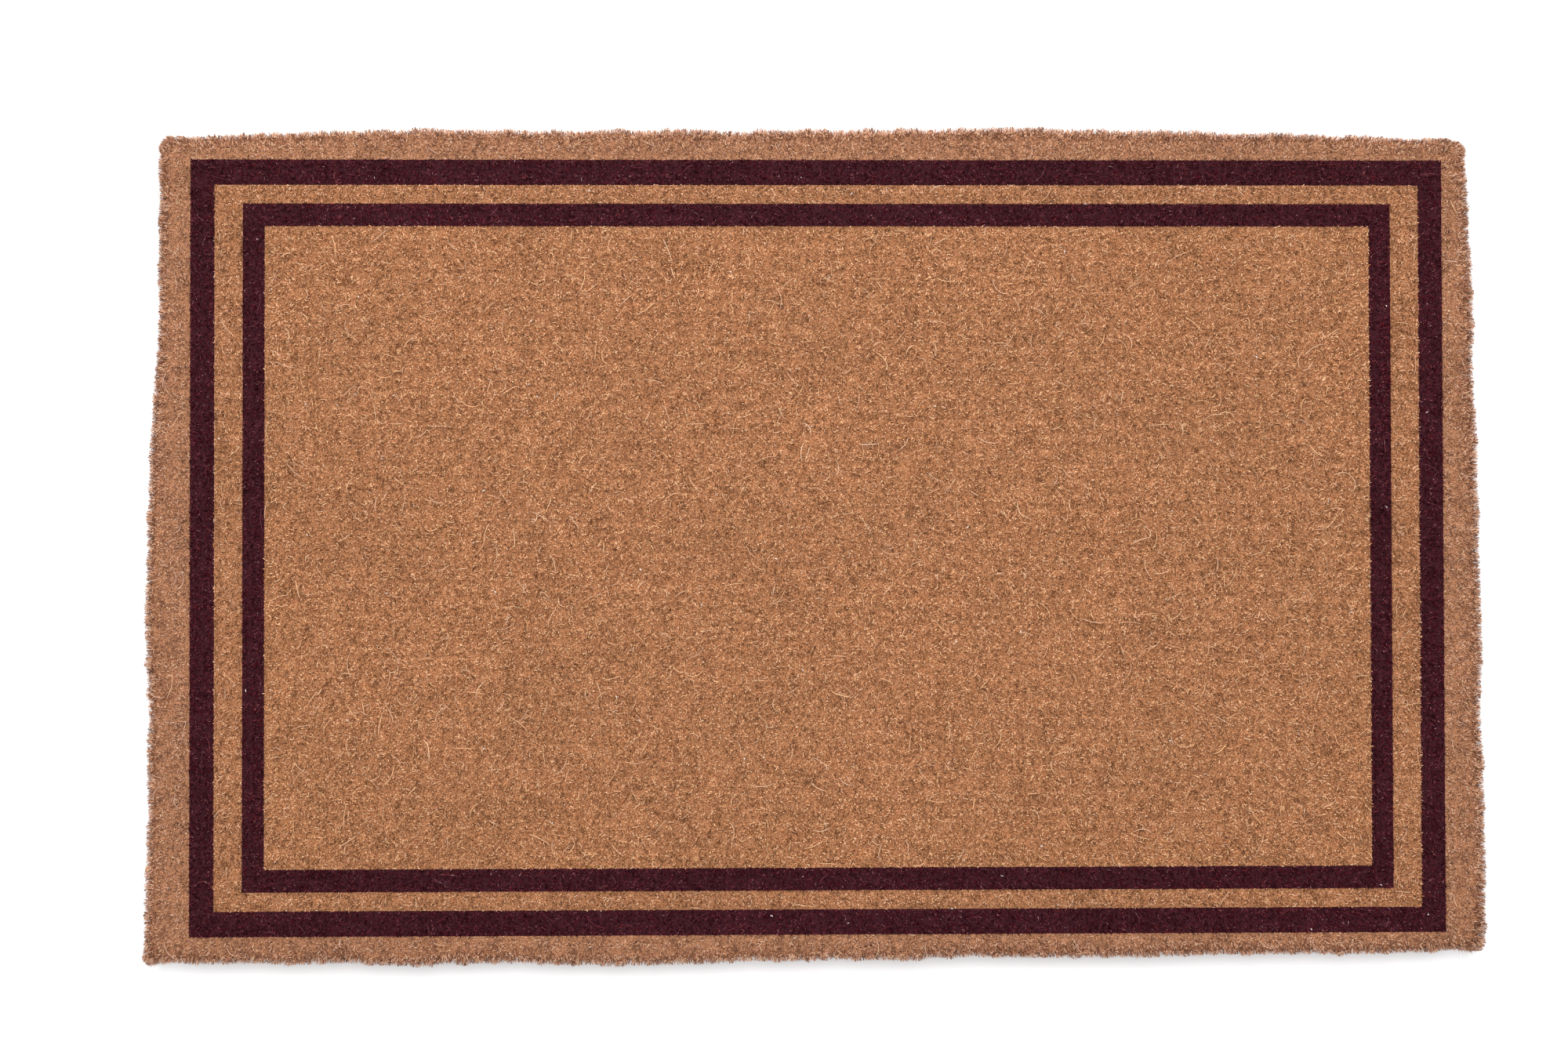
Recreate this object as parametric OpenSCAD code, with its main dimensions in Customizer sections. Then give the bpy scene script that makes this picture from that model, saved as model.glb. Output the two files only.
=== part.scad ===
// Hand-woven coir brush mat with two dyed stripes round a plain field.
// X runs along the long side, Y from the front edge to the back edge, and Z up from the floor.
// The origin is on the floor, under the middle of the mat.

/* [Mat] */
// Length over the tips of the pile, left to right
mat_length = 920; // [700:10:1300]
// Width over the tips of the pile, front to back
mat_width = 574; // [420:2:800]
// Height from the floor to the sheared top of the pile
mat_height = 38; // [32:1:52]
// How far the edge tufts lean out past the woven ground
edge_flare = 12; // [6:1:16]
// Radius of the pile's corners in plan
corner_radius = 8; // [4:1:16]

/* [Pile] */
// Distance from one row of tufts to the next, along X
row_pitch = 10.76; // [9:0.01:13]
// Width of the crease between two rows, at the top
crease_width = 1.8; // [0.8:0.1:3]
// Depth of the crease between two rows
crease_depth = 3; // [1:0.5:6]
// Radius where the shears round the outer edge of the pile
shear_radius = 6; // [2:0.5:9]
// Clearance between neighbouring zones of pile
zone_gap = 0.3; // [0.1:0.1:0.6]

/* [Stripes] */
// Plain pile outside the stripes, at the left
margin_left = 31; // [22:0.5:45]
// Plain pile outside the stripes, at the right
margin_right = 26; // [22:0.5:45]
// Plain pile outside the stripes, at the front
margin_front = 19.5; // [18:0.5:45]
// Plain pile outside the stripes, at the back
margin_back = 21.5; // [18:0.5:45]
// Outer stripe where it runs along the left and right sides
outer_stripe_across = 16.6; // [8:0.1:30]
// Outer stripe where it runs along the front and back
outer_stripe_along = 17.4; // [8:0.1:30]
// Plain band between the stripes, at the left and right sides
band_across = 19.3; // [8:0.1:30]
// Plain band between the stripes, at the front and back
band_along = 12.9; // [8:0.1:30]
// Inner stripe where it runs along the left and right sides
inner_stripe_across = 15; // [8:0.1:30]
// Inner stripe where it runs along the front and back
inner_stripe_along = 15.6; // [8:0.1:30]

/* [Ground weave] */
// Distance from one pair of chain warps to the next, along Y
warp_pitch = 10.14; // [9:0.01:13]
// Thickness of a chain warp yarn
chain_thickness = 3.4; // [3:0.1:4]
// Thickness of a stuffer warp yarn
stuffer_thickness = 3; // [2:0.1:3]
// Thickness of the weft yarn
weft_thickness = 4; // [3:0.1:4.5]
// Clearance between the crossing layers of yarn
layer_gap = 0.2; // [0.1:0.1:0.4]
// Number of plain heading picks at each end
heading_picks = 2; // [1:1:3]
// Thickness of a heading pick
heading_thickness = 3; // [2:0.1:3.5]

/* [Edges] */
// Width of the plait along each end
plait_width = 16; // [12:0.5:20]
// Thickness of the sewing twine
twine_thickness = 1.5; // [1:0.1:2]
// Number of pitches from one stitch to the next
stitch_step = 2; // [1:1:4]

/* [Hidden] */
$fn = 48;
coir = "#B07C58";
dyed_coir = "#4A2226";
yarn = "#9A6B45";
stuffer_yarn = "#8A5F3E";
cord = "#A67A50";
twine = "#CDB083";

// Half sizes of the pile at its tips and of the woven ground under it
tip_x = mat_length / 2;
tip_y = mat_width / 2;
ground_x = tip_x - edge_flare;
ground_y = tip_y - edge_flare;

// Middle heights of the crossing layers of yarn, and the foot of the pile
chain_low_z = chain_thickness / 2;
stuffer_z = chain_thickness - stuffer_thickness / 2;
weft_z = chain_thickness + layer_gap + weft_thickness / 2;
heading_z = chain_thickness + layer_gap + heading_thickness / 2;
chain_high_z = chain_thickness * 1.5 + weft_thickness + 2 * layer_gap;
pile_foot = 2 * chain_thickness + weft_thickness + 3 * layer_gap;

// The selvedge cords and the plaits leave just enough height for a stitch over them
edge_height = pile_foot - twine_thickness - layer_gap;

// Ends of the yarns that run along X, which stop at the plaits
edge_gap = 0.5;
warp_reach = ground_x - plait_width - edge_gap;

// Heading picks lie side by side, just inside the ends of the warps
heading_pitch = heading_thickness + layer_gap;
heading_outer_x = warp_reach - heading_thickness / 2;
heading_inner_x = heading_outer_x - (heading_picks - 1) * heading_pitch - heading_thickness / 2;

// The weft goes to and fro between the headings and turns just inside the selvedge cords
weft_reach_x = heading_inner_x - edge_gap - weft_thickness / 2;
weft_picks = 2 * floor(weft_reach_x / row_pitch) + 1;
weft_turn_y = ground_y - edge_height - edge_gap;
weft_straight = 2 * (weft_turn_y - weft_thickness / 2 - row_pitch / 2);

// Chain warps are spread evenly, and a stuffer lies between each two pairs
warp_pairs = 2 * floor((weft_turn_y - chain_thickness / 2) / warp_pitch) + 1;

// Stitches hug the edge with a hair of clearance, and start where they just clear the floor
twine_gap = 0.05;
stitch_radius = edge_height / 2 + twine_gap + twine_thickness / 2;
stitch_start_angle = -asin((edge_height - twine_thickness) / 2 / stitch_radius);
stitch_end_angle = 125;
end_stitches = floor(2 * weft_turn_y / (stitch_step * warp_pitch));
side_stitches = floor(2 * warp_reach / (stitch_step * row_pitch)) - 1;

// Rectangles that part the zones of pile, outermost first: [left, right, front, back]
across = [0, outer_stripe_across, outer_stripe_across + band_across,
          outer_stripe_across + band_across + inner_stripe_across];
along = [0, outer_stripe_along, outer_stripe_along + band_along,
         outer_stripe_along + band_along + inner_stripe_along];
past_tips = 1;
mat_edge = [-tip_x - past_tips, tip_x + past_tips, -tip_y - past_tips, tip_y + past_tips];
zone_edges = [for (i = [0 : 3]) [
    -tip_x + margin_left + across[i],
    tip_x - margin_right - across[i],
    -tip_y + margin_front + along[i],
    tip_y - margin_back - along[i]
]];
outer_stripe_edge = zone_edges[0];
band_edge = zone_edges[1];
inner_stripe_edge = zone_edges[2];
field_edge = zone_edges[3];

// One evenly spaced place out of count, counted from the middle
function spaced(i, count, pitch) = (i - (count - 1) / 2) * pitch;

// Creases between rows from right to left, kept off the ends of the zone
function crease_places(left, right) = [
    for (i = [floor(right / row_pitch) : -1 : floor(left / row_pitch)])
        let (x = (i + 0.5) * row_pitch)
        if (x > left + crease_width && x < right - crease_width) x
];

// The four sides of a frame between two rectangles: front and back run the full length
function front_side(outer, inner) = [outer[0], outer[1], outer[2], inner[2]];
function back_side(outer, inner) = [outer[0], outer[1], inner[3], outer[3]];
function left_side(outer, inner) = [outer[0], inner[0], inner[2], inner[3]];
function right_side(outer, inner) = [inner[1], outer[1], inner[2], inner[3]];

// Upright section of the pile: it flares from the ground to the tips and is rounded by the shears
function flared_section(half_tip) =
    let (shoulder = mat_height - shear_radius, inset = half_tip - shear_radius)
    concat(
        [[half_tip - edge_flare, pile_foot]],
        [for (a = [0 : 30 : 90]) [inset + shear_radius * cos(a), shoulder + shear_radius * sin(a)]],
        [for (a = [90 : 30 : 180]) [-inset + shear_radius * cos(a), shoulder + shear_radius * sin(a)]],
        [[edge_flare - half_tip, pile_foot]]
    );

// Rows of tufts that fill a rectangle [left, right, front, back], creased between the rows
module tuft_rows(area) {
    left = area[0] + zone_gap / 2;
    right = area[1] - zone_gap / 2;
    front = area[2] + zone_gap / 2;
    back = area[3] - zone_gap / 2;
    crease_points = [
        for (x = crease_places(left, right))
            each [[x + crease_width / 2, mat_height],
                  [x, mat_height - crease_depth],
                  [x - crease_width / 2, mat_height]]
    ];
    translate([0, back, 0])
        rotate([90, 0, 0])
            linear_extrude(back - front)
                polygon(concat(
                    [[left, pile_foot], [right, pile_foot], [right, mat_height]],
                    crease_points,
                    [[left, mat_height]]
                ));
}

// Whole outside of the pile: flared both ways, with rounded corners in plan
module pile_envelope() {
    intersection() {
        translate([0, tip_y, 0])
            rotate([90, 0, 0])
                linear_extrude(mat_width)
                    polygon(flared_section(tip_x));
        translate([-tip_x, 0, 0])
            rotate([90, 0, 90])
                linear_extrude(mat_length)
                    polygon(flared_section(tip_y));
        linear_extrude(mat_height)
            rounded_rectangle(mat_length, mat_width, corner_radius);
    }
}

module rounded_rectangle(length, width, radius) {
    square([length - 2 * radius, width], center = true);
    square([length, width - 2 * radius], center = true);
    for (x = [-1, 1], y = [-1, 1])
        translate([x * (length / 2 - radius), y * (width / 2 - radius)])
            circle(radius);
}

// A side of the outermost zone reaches past the tips, and the envelope trims it
module margin_side(area) {
    color(coir)
        intersection() {
            pile_envelope();
            tuft_rows(area);
        }
}

// Straight yarns along X, spread evenly across the mat
module warps(count, thickness, z) {
    for (i = [0 : count - 1])
        translate([-warp_reach, spaced(i, count, warp_pitch), z])
            rotate([0, 90, 0])
                cylinder(d = thickness, h = 2 * warp_reach);
}

module chain_warps_upper() {
    color(yarn) warps(warp_pairs, chain_thickness, chain_high_z);
}

module chain_warps_lower() {
    color(yarn) warps(warp_pairs, chain_thickness, chain_low_z);
}

module stuffer_warps() {
    color(stuffer_yarn) warps(warp_pairs - 1, stuffer_thickness, stuffer_z);
}

// One long yarn: a straight pick in every row, and a half turn at alternate edges
module weft_yarn() {
    color(yarn) {
        for (i = [0 : weft_picks - 1])
            translate([spaced(i, weft_picks, row_pitch), -weft_straight / 2, weft_z])
                rotate([-90, 0, 0])
                    cylinder(d = weft_thickness, h = weft_straight);
        for (i = [0 : weft_picks - 2])
            let (side = i % 2 == 0 ? 1 : -1)
                translate([spaced(i + 0.5, weft_picks, row_pitch), side * weft_straight / 2, weft_z])
                    rotate([0, 0, 90 * side - 90])
                        rotate_extrude(angle = 180)
                            translate([row_pitch / 2, 0])
                                circle(d = weft_thickness);
    }
}

// Plain picks between the last row of tufts and the plait; side is -1 at the left, 1 at the right
module heading(side) {
    color(yarn)
        for (i = [0 : heading_picks - 1])
            translate([side * (heading_outer_x - i * heading_pitch), -weft_turn_y, heading_z])
                rotate([-90, 0, 0])
                    cylinder(d = heading_thickness, h = 2 * weft_turn_y);
}

// Cord that the weft turns back at; side is -1 at the front, 1 at the back
module selvedge_cord(side) {
    color(cord)
        translate([-warp_reach, side * (ground_y - edge_height / 2), edge_height / 2])
            rotate([0, 90, 0])
                cylinder(d = edge_height, h = 2 * warp_reach);
}

// Flat plait of the warps' own ends, with round edges; side is -1 at the left, 1 at the right
module end_plait(side) {
    core = plait_width - edge_height;
    color(cord)
        translate([side * (ground_x - plait_width / 2), ground_y, edge_height / 2])
            rotate([90, 0, 0])
                linear_extrude(2 * ground_y) {
                    square([core, edge_height], center = true);
                    for (x = [-1, 1])
                        translate([x * core / 2, 0])
                            circle(d = edge_height);
                }
}

// Arc of twine over a round edge that runs along X
module twine_arc(start_angle, end_angle) {
    rotate([90, 0, 90])
        rotate([0, 0, start_angle])
            rotate_extrude(angle = end_angle - start_angle)
                translate([stitch_radius, 0])
                    circle(d = twine_thickness);
}

// Overcast stitches on a selvedge cord; side is -1 at the front, 1 at the back
module side_stitch_row(side) {
    color(twine)
        for (i = [0 : side_stitches - 1])
            translate([spaced(i, side_stitches, stitch_step * row_pitch),
                       side * (ground_y - edge_height / 2),
                       edge_height / 2])
                rotate([0, 0, 90 - 90 * side])
                    twine_arc(stitch_start_angle, stitch_end_angle);
}

// One stitch over the flat plait: down its outer edge, across its top and down its inner edge
module plait_stitch() {
    core = plait_width - edge_height;
    translate([0, core / 2, 0])
        twine_arc(stitch_start_angle, 90);
    translate([0, -core / 2, stitch_radius])
        rotate([-90, 0, 0])
            cylinder(d = twine_thickness, h = core);
    translate([0, -core / 2, 0])
        twine_arc(90, stitch_end_angle);
}

// Overcast stitches on a plait; side is -1 at the left, 1 at the right
module end_stitch_row(side) {
    color(twine)
        for (i = [0 : end_stitches - 1])
            translate([side * (ground_x - plait_width / 2),
                       spaced(i, end_stitches, stitch_step * warp_pitch),
                       edge_height / 2])
                rotate([0, 0, -90 * side])
                    plait_stitch();
}

module field_pile() { color(coir) tuft_rows(field_edge); }
module inner_stripe(area) { color(dyed_coir) tuft_rows(area); }
module band_pile(area) { color(coir) tuft_rows(area); }
module outer_stripe(area) { color(dyed_coir) tuft_rows(area); }

module inner_stripe_front() { inner_stripe(front_side(inner_stripe_edge, field_edge)); }
module inner_stripe_back() { inner_stripe(back_side(inner_stripe_edge, field_edge)); }
module inner_stripe_left() { inner_stripe(left_side(inner_stripe_edge, field_edge)); }
module inner_stripe_right() { inner_stripe(right_side(inner_stripe_edge, field_edge)); }

module band_pile_front() { band_pile(front_side(band_edge, inner_stripe_edge)); }
module band_pile_back() { band_pile(back_side(band_edge, inner_stripe_edge)); }
module band_pile_left() { band_pile(left_side(band_edge, inner_stripe_edge)); }
module band_pile_right() { band_pile(right_side(band_edge, inner_stripe_edge)); }

module outer_stripe_front() { outer_stripe(front_side(outer_stripe_edge, band_edge)); }
module outer_stripe_back() { outer_stripe(back_side(outer_stripe_edge, band_edge)); }
module outer_stripe_left() { outer_stripe(left_side(outer_stripe_edge, band_edge)); }
module outer_stripe_right() { outer_stripe(right_side(outer_stripe_edge, band_edge)); }

module margin_pile_front() { margin_side(front_side(mat_edge, outer_stripe_edge)); }
module margin_pile_back() { margin_side(back_side(mat_edge, outer_stripe_edge)); }
module margin_pile_left() { margin_side(left_side(mat_edge, outer_stripe_edge)); }
module margin_pile_right() { margin_side(right_side(mat_edge, outer_stripe_edge)); }

field_pile();
inner_stripe_front();
inner_stripe_back();
inner_stripe_left();
inner_stripe_right();
band_pile_front();
band_pile_back();
band_pile_left();
band_pile_right();
outer_stripe_front();
outer_stripe_back();
outer_stripe_left();
outer_stripe_right();
margin_pile_front();
margin_pile_back();
margin_pile_left();
margin_pile_right();
chain_warps_upper();
chain_warps_lower();
stuffer_warps();
weft_yarn();
heading(-1);  // heading_picks_left
heading(1);  // heading_picks_right
selvedge_cord(-1);  // selvedge_cord_front
selvedge_cord(1);  // selvedge_cord_back
end_plait(-1);  // end_plait_left
end_plait(1);  // end_plait_right
side_stitch_row(-1);  // edge_stitches_front
side_stitch_row(1);  // edge_stitches_back
end_stitch_row(-1);  // edge_stitches_left
end_stitch_row(1);  // edge_stitches_right
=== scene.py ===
"""Hand-woven coir brush mat: pile, dyed stripes, woven ground and bound edges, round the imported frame."""

import math

import bpy
import numpy as np
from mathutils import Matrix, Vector


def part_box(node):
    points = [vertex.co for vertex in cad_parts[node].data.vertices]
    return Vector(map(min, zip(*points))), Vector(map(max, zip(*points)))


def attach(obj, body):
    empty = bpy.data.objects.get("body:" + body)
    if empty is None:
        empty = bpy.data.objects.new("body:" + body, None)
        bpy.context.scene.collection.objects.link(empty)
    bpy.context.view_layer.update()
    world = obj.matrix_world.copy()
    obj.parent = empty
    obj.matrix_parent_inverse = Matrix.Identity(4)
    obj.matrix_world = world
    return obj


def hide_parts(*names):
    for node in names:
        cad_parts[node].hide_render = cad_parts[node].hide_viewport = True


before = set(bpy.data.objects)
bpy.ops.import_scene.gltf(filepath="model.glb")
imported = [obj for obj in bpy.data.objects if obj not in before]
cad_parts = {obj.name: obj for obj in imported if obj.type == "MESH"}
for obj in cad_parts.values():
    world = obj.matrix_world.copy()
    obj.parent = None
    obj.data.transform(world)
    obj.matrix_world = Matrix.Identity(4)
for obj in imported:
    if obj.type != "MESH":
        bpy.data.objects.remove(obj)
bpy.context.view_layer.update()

# ---------------- sizes, in metres, from the frame


def box(node):
    """Lowest and highest corner of a CAD node, as arrays"""
    low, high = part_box(node)
    return np.array(low), np.array(high)


BOX = {node: box(node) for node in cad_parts}
CAD_SLOT = {node: shape.data.materials[0].name for node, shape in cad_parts.items()}
PILE_NODES = [node for node, slot in CAD_SLOT.items() if slot.endswith("_pile")]

FIELD_LOW, FIELD_HIGH = BOX["field_pile"]
PILE_FOOT, PILE_TOP = FIELD_LOW[2], FIELD_HIGH[2]
SEAM = FIELD_LOW[0] - BOX["inner_stripe_left"][1][0]
GROUND_X = BOX["end_plait_right"][1][0]
GROUND_Y = BOX["end_plait_right"][1][1]
TIP_X = BOX["margin_pile_front"][1][0]
TIP_Y = BOX["margin_pile_back"][1][1]
EDGE_HEIGHT = BOX["end_plait_right"][1][2]

PICKS = 79
CHAIN_PAIRS = 51
HEADING_PICKS = 2
SIDE_STITCHES = 39
END_STITCHES = 26


def size(node):
    """Length, depth and height of a CAD node's box"""
    return BOX[node][1] - BOX[node][0]


def middle(node):
    """Middle of a CAD node's box"""
    return (BOX[node][1] + BOX[node][0]) / 2


WEFT_D = size("weft_yarn")[2]
CHAIN_D = size("chain_warps_upper")[2]
STUFFER_D = size("stuffer_warps")[2]
ROW_PITCH = (size("weft_yarn")[0] - WEFT_D) / (PICKS - 1)
WARP_PITCH = (size("chain_warps_upper")[1] - CHAIN_D) / (CHAIN_PAIRS - 1)
WEFT_Z = middle("weft_yarn")[2]
TUFT = np.array([ROW_PITCH, WARP_PITCH])
FIRST_TUFT = np.array([ROW_PITCH / 2, 0.0])

# ---------------- the pile, in metres

FIBRES_PER_M2 = 0.70e6
FIELD_SHARES = 6  # the field has too many fibres for one mesh, so they are dealt out over several
FIBRE_WIDTH = (0.00040, 0.00075)
FIBRE_SHOW = 0.0066  # length of the top fibres that stands out of the bed
FIBRE_LEAN = 0.0032
LONGEST_LEAN = 0.0056
TUFT_PULL = 0.24  # how far a root stands from its tip towards the middle of its tuft
TUFT_LEAN = 0.0009
TUFT_UNEVEN = 0.0004
TIP_RAGGED = 0.0014
TIP_INSIDE = 0.0004  # least distance of a tip inside the outline
BEYOND_TIPS = 0.004  # how far past the outline tips are tried
SHEAR_ROUND = 0.0070  # radius of the rounded top edge
BORDER_FUZZ = 0.0006  # mean and greatest reach of a fibre into the next zone
BORDER_FUZZ_MOST = 0.0020

EDGE_BAND = 0.011  # width of the band along the edge where the fibres fan out
EDGE_FAN = 0.0042
EDGE_EXTRA = 1.0  # fibres added there, against those already there
TOP_FAN_DEPTH = 0.030  # how far in from the edge the direction outwards is given to a fibre
WALL_FAN_DEPTH = 0.028
BED_FAN_DEPTH = 0.040

CREASE_FROM = 0.45  # where the crease starts, from a tuft's middle (0) to its border (1)
CREASE_DEEPEST = 1.15
CREASE_DROP = 0.0009
# painted shade: how much darker the fibres are in the creases between tufts
CREASE_PAINTED_SHADE = 0.29
LOCK_SIZE = 0.0018
LOCK_TONE = 0.45
LOCK_DROP = 0.0026
FIBRE_TONE = 0.46
PALE_SHARE = {"natural": 0.045, "dyed": 0.012}
DARK_SHARE = 0.07

WALL_FIBRES = 46000
WALL_FIBRE_WIDTH = (0.00048, 0.00085)
WALL_SHORT = 0.40  # share of them that end below the widest place
WALL_CORNERS = 0.09  # share of them that stand close to a corner, where they spread
WALL_CORNER_NEAR = 0.05  # how close, as a part of half the side
WALL_EDGE_IN = 0.002  # how far inside the ground's edge they stand
WALL_ROOT_IN = 0.005
WALL_ROOT_DEPTH = (0.0002, 0.0034)  # of their roots under the foot of the pile
WALL_PULL = 0.22
# painted light: raised tone of the wall fibres, against the shade round the mat's edge
WALL_PAINTED_LIGHT = 0.03
WALL_FOOT_OUT = 0.0038  # how far out the lowest tips stand
WALL_SUNK = 0.0016
WALL_SLIDE = 0.0018  # how far the tips stray along the edge
WALL_BOW = 0.0006
WALL_FUZZ = 0.00022
WALL_FUZZ_MOST = 0.0013
WALL_FLARE_MOST = 0.026
WALL_WIDEST = PILE_TOP - SHEAR_ROUND
WALL_TOPMOST = PILE_TOP - 0.0012
WALL_DROOP = 0.0050  # how far the lowest tips hang under the foot of the pile

LOOSE_INSIDE = 0.012  # distance of the loose fibres and flakes from the nominal edge
STRAYS = 2200
STRAY_WIDTH = (0.00038, 0.00068)
STRAY_TAPER = 0.6
STRAY_POINTS = 6
STRAY_LENGTH = (0.004, 0.017)
STRAY_BEND = 1.4
STRAY_WOBBLE = 0.16
STRAY_LIFT = (0.0003, 0.0017)  # height of a stray's middle above the tips
STRAY_SUNK = 0.0022  # depth of its ends under them
FLAKES = 120  # pale scraps of husk that lie among the tips
FLAKE_TONE = 1.15
FLAKE_WIDTH = (0.0005, 0.0011)
FLAKE_HALF_LENGTH = (0.0006, 0.0018)
FLAKE_HEIGHT = (-0.0012, 0.0002)  # from the top of the pile

HAIRS_PER_STRAND = 900
HAIR_LENGTH = (0.0008, 0.0030)
HAIR_WIDTH = (0.00022, 0.00036)
HAIR_LOWEST = 0.0004
HAIR_SLIDE = 0.0022  # how far hairs lie along their strand

# How far the tips stand past the CAD outline at even steps along a side, left to right or front to back
EDGE_DRIFT = {
    "front": (0.000, 0.0005, 0.001, -0.002, -0.003, -0.005),
    "back": (-0.005, 0.001, 0.000, 0.002, 0.000, -0.007),
    "left": (0.002, -0.002, 0.000, -0.002, -0.008, -0.010),
    "right": (0.002, 0.002, 0.001, -0.001, -0.004, -0.008),
}
FRONT_CORNER = 0.005
BACK_CORNER = 0.009
LOBE = 0.0003
LOBE_RANDOM = 0.0010
SLOW_WAVE = 0.0010
SLOW_WAVE_LENGTH = 0.055


def seeded(name):
    """A random source that is always the same for the same name"""
    return np.random.default_rng(sum(ord(c) * (i + 7) for i, c in enumerate(name)))


def value_noise(points, step, name):
    """Smooth noise from -1 to 1 over 1 or 2 coordinates, with features one step wide"""
    points = np.atleast_2d(np.asarray(points, float).T).T / step
    table = seeded(name).uniform(-1, 1, (512,) * points.shape[1])
    cell = np.floor(points).astype(int)
    part = points - cell
    part = part * part * (3 - 2 * part)
    if points.shape[1] == 1:
        a, b = table[cell[:, 0] % 512], table[(cell[:, 0] + 1) % 512]
        return a + (b - a) * part[:, 0]
    x0, y0 = cell[:, 0] % 512, cell[:, 1] % 512
    x1, y1 = (x0 + 1) % 512, (y0 + 1) % 512
    low = table[x0, y0] + (table[x1, y0] - table[x0, y0]) * part[:, 0]
    high = table[x0, y1] + (table[x1, y1] - table[x0, y1]) * part[:, 0]
    return low + (high - low) * part[:, 1]


def tuft_middle(xy):
    """Middle of the tuft that each point in plan belongs to"""
    return np.round((xy - FIRST_TUFT) / TUFT) * TUFT + FIRST_TUFT


def tuft_value(xy, name):
    """One random number from -1 to 1 for each tuft"""
    cell = np.round((xy - FIRST_TUFT) / TUFT).astype(int) % 256
    return seeded(name).uniform(-1, 1, (256, 256))[cell[:, 0], cell[:, 1]]


def reach(side, along):
    """Distance from the mat's middle to the tips on one side, at places along it"""
    across = side in ("left", "right")
    half_length, nominal = (TIP_Y, TIP_X) if across else (TIP_X, TIP_Y)
    pitch, first = (WARP_PITCH, FIRST_TUFT[1]) if across else (ROW_PITCH, FIRST_TUFT[0])
    drift = EDGE_DRIFT[side]
    steps = np.linspace(-half_length, half_length, len(drift))
    lobes = LOBE * np.cos(2 * math.pi * (along - first) / pitch)
    uneven = LOBE_RANDOM * value_noise(along - first, pitch, side + " lobes")
    slow = SLOW_WAVE * value_noise(along, SLOW_WAVE_LENGTH, side + " waves")
    return nominal + np.interp(along, steps, drift) + lobes + uneven + slow


def inside(xy):
    """How far inside the outline of the tips each point is, in plan; below 0 is outside"""
    x, y = xy[:, 0], xy[:, 1]
    from_x = np.minimum(x + reach("left", y), reach("right", y) - x)
    from_y = np.minimum(y + reach("front", x), reach("back", x) - y)
    corner = np.where(y > 0, BACK_CORNER, FRONT_CORNER)
    rounded = corner - np.hypot(np.maximum(corner - from_x, 0), np.maximum(corner - from_y, 0))
    return np.where((from_x < corner) & (from_y < corner), rounded, np.minimum(from_x, from_y))


def outward(xy, depth):
    """Unit direction towards the nearest edge, and 0 further in than depth"""
    from_x = np.maximum(depth - (TIP_X - np.abs(xy[:, 0])), 0)
    from_y = np.maximum(depth - (TIP_Y - np.abs(xy[:, 1])), 0)
    way = np.stack([np.sign(xy[:, 0]) * from_x, np.sign(xy[:, 1]) * from_y], axis=1)
    return way / np.maximum(np.linalg.norm(way, axis=1), 1e-9)[:, None]


def sheared_height(distance_in):
    """Height of the sheared surface at a distance inside the outline"""
    short = np.clip(SHEAR_ROUND - distance_in, 0, SHEAR_ROUND)
    return PILE_TOP - SHEAR_ROUND + np.sqrt(SHEAR_ROUND**2 - short**2)


def zone_rectangle(node):
    """Plan of a pile zone, to the middle of its seams; an outermost zone is open outwards"""
    low, high = BOX[node][0][:2] - SEAM / 2, BOX[node][1][:2] + SEAM / 2
    beyond = 0.05  # well past the farthest tip
    low = np.where(low < [-TIP_X, -TIP_Y], low - beyond, low)
    high = np.where(high > [TIP_X, TIP_Y], high + beyond, high)
    return low, high


# ---------------- mesh building


def unit(vectors):
    """Vectors brought to length 1"""
    return vectors / np.linalg.norm(vectors, axis=-1)[..., None]


def three_ways(way, rng):
    """Three unit directions square to each fibre's way, at even turns round it"""
    across = unit(np.cross(way, rng.normal(size=way.shape)))
    upright = np.cross(way, across)
    turns = 2 * math.pi * np.arange(3) / 3
    return np.cos(turns)[:, None] * across[:, None] + np.sin(turns)[:, None] * upright[:, None]


def fibre_data(vertices, faces, tones, painted_shade_lift):
    """Mesh data of fibres of one make, from vertices (fibre, vertex, 3) and the faces of one fibre"""
    count, each = vertices.shape[:2]
    starts = each * np.arange(count)[:, None, None]
    return {
        "co": vertices.reshape(-1, 3),
        "tris": (np.array(faces)[None] + starts).reshape(-1, 3),
        "tone": np.repeat(tones, each),
        # painted_shade_lift of each vertex: 0 takes the full painted root shade, 1 none
        "painted_shade_lift": np.broadcast_to(painted_shade_lift, (count, each)).reshape(-1),
    }


def blade_mesh(roots, tips, widths, tones, root_shade_lift, rng):
    """Closed straight fibres of four triangles: a short edge at the root and, square to it, at the tip"""
    way = unit(tips - roots)
    across = unit(np.cross(way, rng.normal(size=way.shape))) * widths[:, None] / 2
    turned = np.cross(way, across)
    vertices = np.stack([roots - across, roots + across, tips - turned, tips + turned], axis=1)
    faces = [(0, 1, 2), (0, 3, 1), (0, 2, 3), (1, 3, 2)]
    # painted shade at the roots, as much as root_shade_lift leaves, and none at the tips
    top = np.ones(len(roots))
    return fibre_data(vertices, faces, tones, np.column_stack([root_shade_lift, root_shade_lift, top, top]))


def bent_fibre_mesh(paths, widths, tones, rng):
    """Closed bent fibres of six triangles along three points: pointed ends and three corners at the bend"""
    ring = three_ways(unit(paths[:, 2] - paths[:, 0]), rng)
    bend = paths[:, 1:2] + widths[:, None, None] / 2 * ring
    vertices = np.concatenate([paths[:, :1], bend, paths[:, 2:]], axis=1)
    faces = [(0, 2, 1), (0, 3, 2), (0, 1, 3), (1, 2, 4), (2, 3, 4), (3, 1, 4)]
    # painted shade along the fibre: full at the root, a quarter of it at the bend, none at the tip
    return fibre_data(vertices, faces, tones, (0.0, 0.75, 0.75, 0.75, 1.0))


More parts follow.
